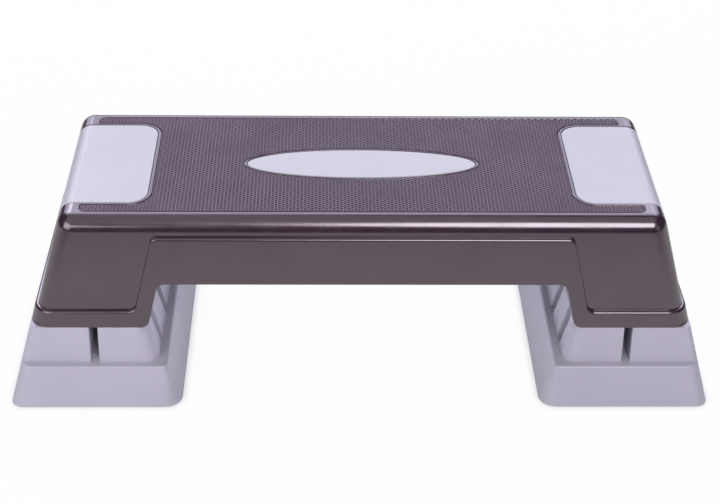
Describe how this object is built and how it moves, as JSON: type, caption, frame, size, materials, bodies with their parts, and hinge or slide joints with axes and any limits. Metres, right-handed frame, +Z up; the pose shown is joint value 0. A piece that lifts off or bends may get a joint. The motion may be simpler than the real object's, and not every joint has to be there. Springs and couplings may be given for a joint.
{
  "type": "aerobic step platform",
  "caption": "Low moulded exercise step: deck with a pitted tread, pale end pads and a blank oval badge, lifting off two hollow stepped risers with rubber feet.",
  "frame": {"origin": "middle of the footprint on the floor", "axes": "+X along the step, +Y to its back, +Z up"},
  "size_m": [0.7, 0.2846, 0.2],
  "materials": {
    "deck": "satin to gloss moulded plastic, dark aubergine grey",
    "tread": "anti-slip sheet with fine staggered pits, dark aubergine grey",
    "pad": "smooth matt plastic, pale lavender grey",
    "badge": "smooth matt plastic, pale lavender grey, left bare",
    "riser": "satin moulded plastic, lavender grey",
    "foot": "soft black rubber"
  },
  "bodies": {
    "riser_left": {"riser_left": "riser", "riser_foot_left_front_outer": "foot", "riser_foot_left_front_inner": "foot", "riser_foot_left_back_outer": "foot", "riser_foot_left_back_inner": "foot"},
    "deck": {"deck_shell": "deck", "tread_mat": "tread", "badge_plate": "badge", "end_pad_left": "pad", "end_pad_right": "pad", "deck_foot_left_front_outer": "foot", "deck_foot_left_front_inner": "foot", "deck_foot_left_back_outer": "foot", "deck_foot_left_back_inner": "foot", "deck_foot_right_front_outer": "foot", "deck_foot_right_front_inner": "foot", "deck_foot_right_back_outer": "foot", "deck_foot_right_back_inner": "foot"},
    "riser_right": {"riser_right": "riser", "riser_foot_right_front_outer": "foot", "riser_foot_right_front_inner": "foot", "riser_foot_right_back_outer": "foot", "riser_foot_right_back_inner": "foot"}
  },
  "joints": [
    {"name": "deck_lift", "type": "slide", "parent": "riser_left", "child": "deck", "axis": [0, 0, 1], "range_m": [0, 0.06]},
    {"name": "riser_right_release", "type": "slide", "parent": "deck", "child": "riser_right", "axis": [0, 0, -1], "range_m": [0, 0.06]}
  ],
  "couplings": [
    {"joint": "riser_right_release", "follows": "deck_lift", "ratio": 1}
  ]
}
